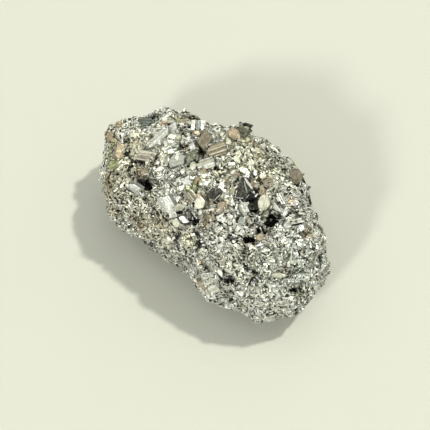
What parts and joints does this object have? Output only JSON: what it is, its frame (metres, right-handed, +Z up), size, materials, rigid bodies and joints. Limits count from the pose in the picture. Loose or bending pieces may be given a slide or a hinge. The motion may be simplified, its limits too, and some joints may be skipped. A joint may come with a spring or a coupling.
{
  "type": "raw pyrite",
  "caption": "Palm-sized lump of raw pyrite: intergrown metallic cube crystals over a fine granular mass, flat underneath so that it rests steadily.",
  "frame": {"origin": "middle of the lump's bounding box, on the flat underside", "axes": "+Z up, away from the flat underside; +X along the lump's length, towards its fine-grained end"},
  "size_m": [0.0649, 0.0409, 0.0313],
  "materials": {
    "pyrite": "metallic, pale brassy silver with grey, tan and olive tarnish, fine sparkling crystal facets"
  },
  "bodies": {
    "root": {"pyrite_cluster": "pyrite"}
  },
  "joints": []
}
